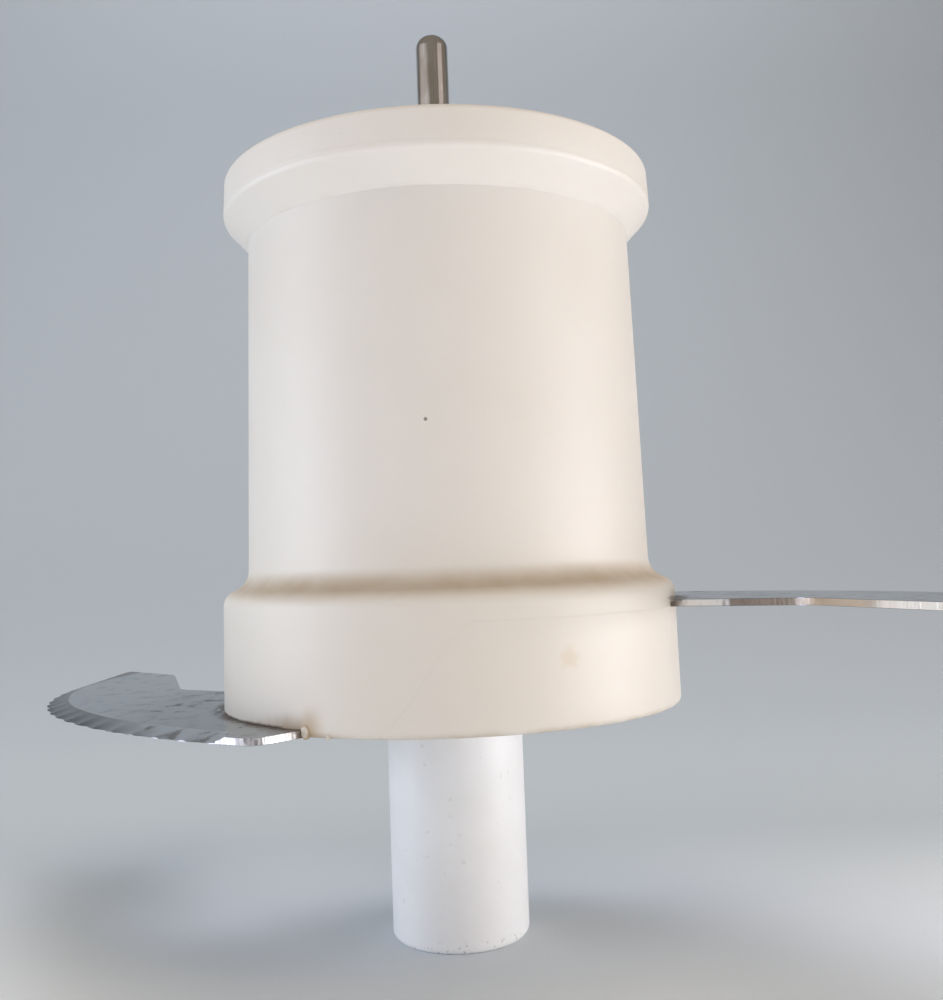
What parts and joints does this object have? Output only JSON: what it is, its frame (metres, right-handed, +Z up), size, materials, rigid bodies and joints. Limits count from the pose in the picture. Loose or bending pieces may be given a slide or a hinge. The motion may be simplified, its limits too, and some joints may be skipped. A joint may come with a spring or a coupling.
{
  "type": "food processor chopping knife with drive shaft",
  "caption": "Hollow flanged plastic hub with curved, fluted steel blades at its foot, on a lift-out drive shaft with a hexagonal socket below and a steel locating pin above.",
  "frame": {"origin": "centre of the drive shaft's lower end face, on the axis of rotation", "axes": "+Z up the axis of rotation to the locating pin, +X towards the upper blade, -X towards the lower blade; the knife turns anticlockwise seen from +Z"},
  "size_m": [0.1414, 0.1278, 0.1382],
  "materials": {
    "shaft_plastic": "white acetal, smooth and slightly glossy, brown residue around its lower edge",
    "pin_steel": "ground stainless steel pin with a rounded tip, lightly marked along its length",
    "hub_plastic": "cream moulded plastic with a soft sheen, yellowed at the collar, brown food stain in the ledge and round the blade slots",
    "cap_plastic": "cream moulded plastic with a soft sheen, a fine mould line around the flange",
    "blade_steel": "polished stainless sheet with a ground, fluted cutting edge and bright sheared rims"
  },
  "bodies": {
    "shaft": {"drive_shaft": "shaft_plastic", "locating_pin": "pin_steel"},
    "knife": {"hub": "hub_plastic", "hub_cap": "cap_plastic", "lower_blade": "blade_steel", "upper_blade": "blade_steel"}
  },
  "joints": [
    {"name": "knife_lift", "type": "slide", "parent": "shaft", "child": "knife", "axis": [0, 0, 1], "range_m": [0, 0.106]}
  ]
}
